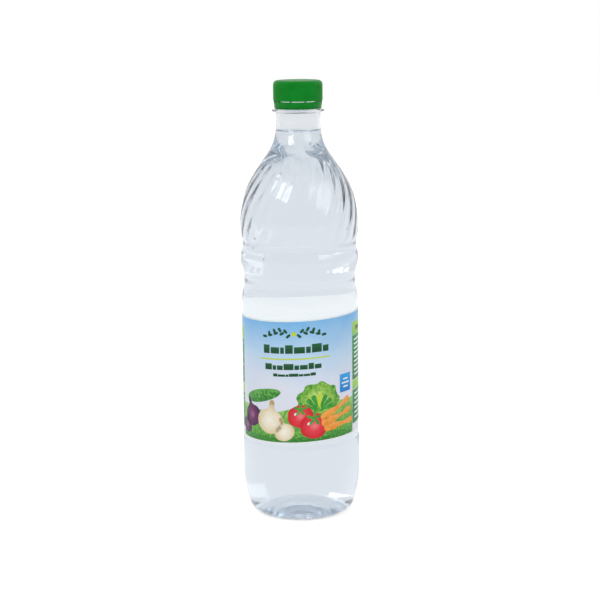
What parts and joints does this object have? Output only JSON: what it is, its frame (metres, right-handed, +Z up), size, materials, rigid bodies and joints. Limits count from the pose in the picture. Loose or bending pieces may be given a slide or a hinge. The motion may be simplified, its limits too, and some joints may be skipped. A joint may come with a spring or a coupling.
{
  "type": "vinegar bottle",
  "caption": "Tall clear plastic bottle of vinegar with a fluted shoulder, ringed body, wrapped paper label and a green screw cap with a tamper band.",
  "frame": {"origin": "centre of the ring that the bottle stands on, on the table", "axes": "+Z up along the bottle's axis, -Y towards the front of the label, +X to the right of it"},
  "size_m": [0.078, 0.078, 0.2855],
  "materials": {
    "clear_plastic": "clear blown PET, glossy, faintly blue-grey",
    "vinegar": "clear colourless liquid",
    "label_print": "printed glossy label",
    "green_plastic": "satin moulded polyethylene"
  },
  "bodies": {
    "root": {"bottle": "clear_plastic", "vinegar": "vinegar", "label": "label_print", "cap": "green_plastic"}
  },
  "joints": []
}
